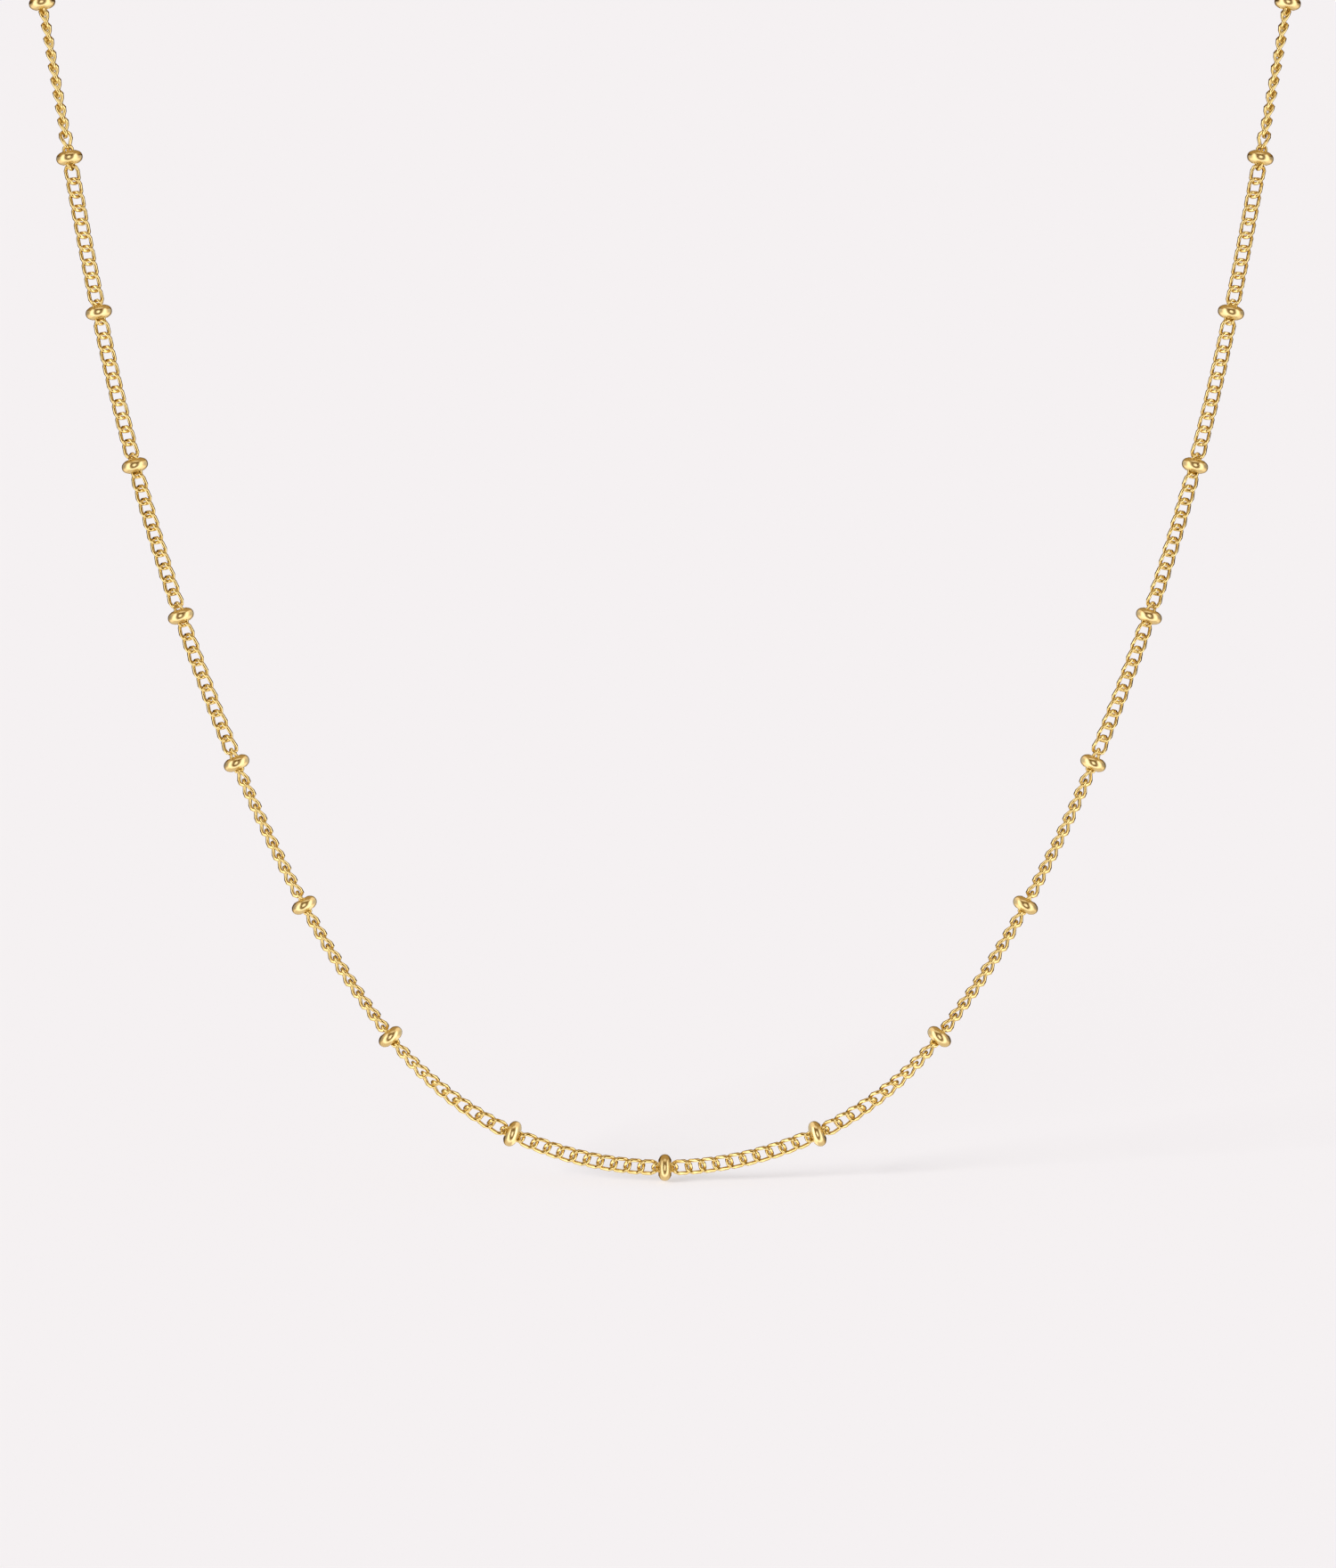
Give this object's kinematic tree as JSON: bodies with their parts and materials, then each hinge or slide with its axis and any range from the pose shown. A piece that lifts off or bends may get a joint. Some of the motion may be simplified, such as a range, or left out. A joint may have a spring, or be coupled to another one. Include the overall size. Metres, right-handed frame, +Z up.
{
  "type": "ball chain necklace",
  "caption": "Fine gold-coloured curb chain necklace with small saucer beads at even steps, closed by a ring clasp at the nape, in the form it takes when worn.",
  "frame": {"origin": "nape of the neck, on the inner side of the clasp, where the worn necklace rests", "axes": "+Z up, +X to the right seen from the front, the front of the loop faces -Y"},
  "size_m": [0.1132, 0.0751, 0.1382],
  "materials": {
    "chain_gold": "polished gold plate on fine round wire",
    "bead_gold": "tumbled and polished gold plate",
    "fastening_gold": "polished gold plate"
  },
  "bodies": {
    "root": {"chain": "chain_gold", "clasp": "fastening_gold", "clasp_ring": "fastening_gold", "catch_ring": "fastening_gold", "bead_01": "bead_gold", "bead_02": "bead_gold", "bead_03": "bead_gold", "bead_04": "bead_gold", "bead_05": "bead_gold", "bead_06": "bead_gold", "bead_07": "bead_gold", "bead_08": "bead_gold", "bead_09": "bead_gold", "bead_10": "bead_gold", "bead_11": "bead_gold", "bead_12": "bead_gold", "bead_13": "bead_gold", "bead_14": "bead_gold", "bead_15": "bead_gold", "bead_16": "bead_gold", "bead_17": "bead_gold", "bead_18": "bead_gold", "bead_19": "bead_gold", "bead_20": "bead_gold", "bead_21": "bead_gold", "bead_22": "bead_gold", "bead_23": "bead_gold", "bead_24": "bead_gold", "bead_25": "bead_gold", "bead_26": "bead_gold", "bead_27": "bead_gold", "bead_28": "bead_gold", "bead_29": "bead_gold", "bead_30": "bead_gold", "bead_31": "bead_gold", "bead_32": "bead_gold", "bead_33": "bead_gold"}
  },
  "joints": []
}
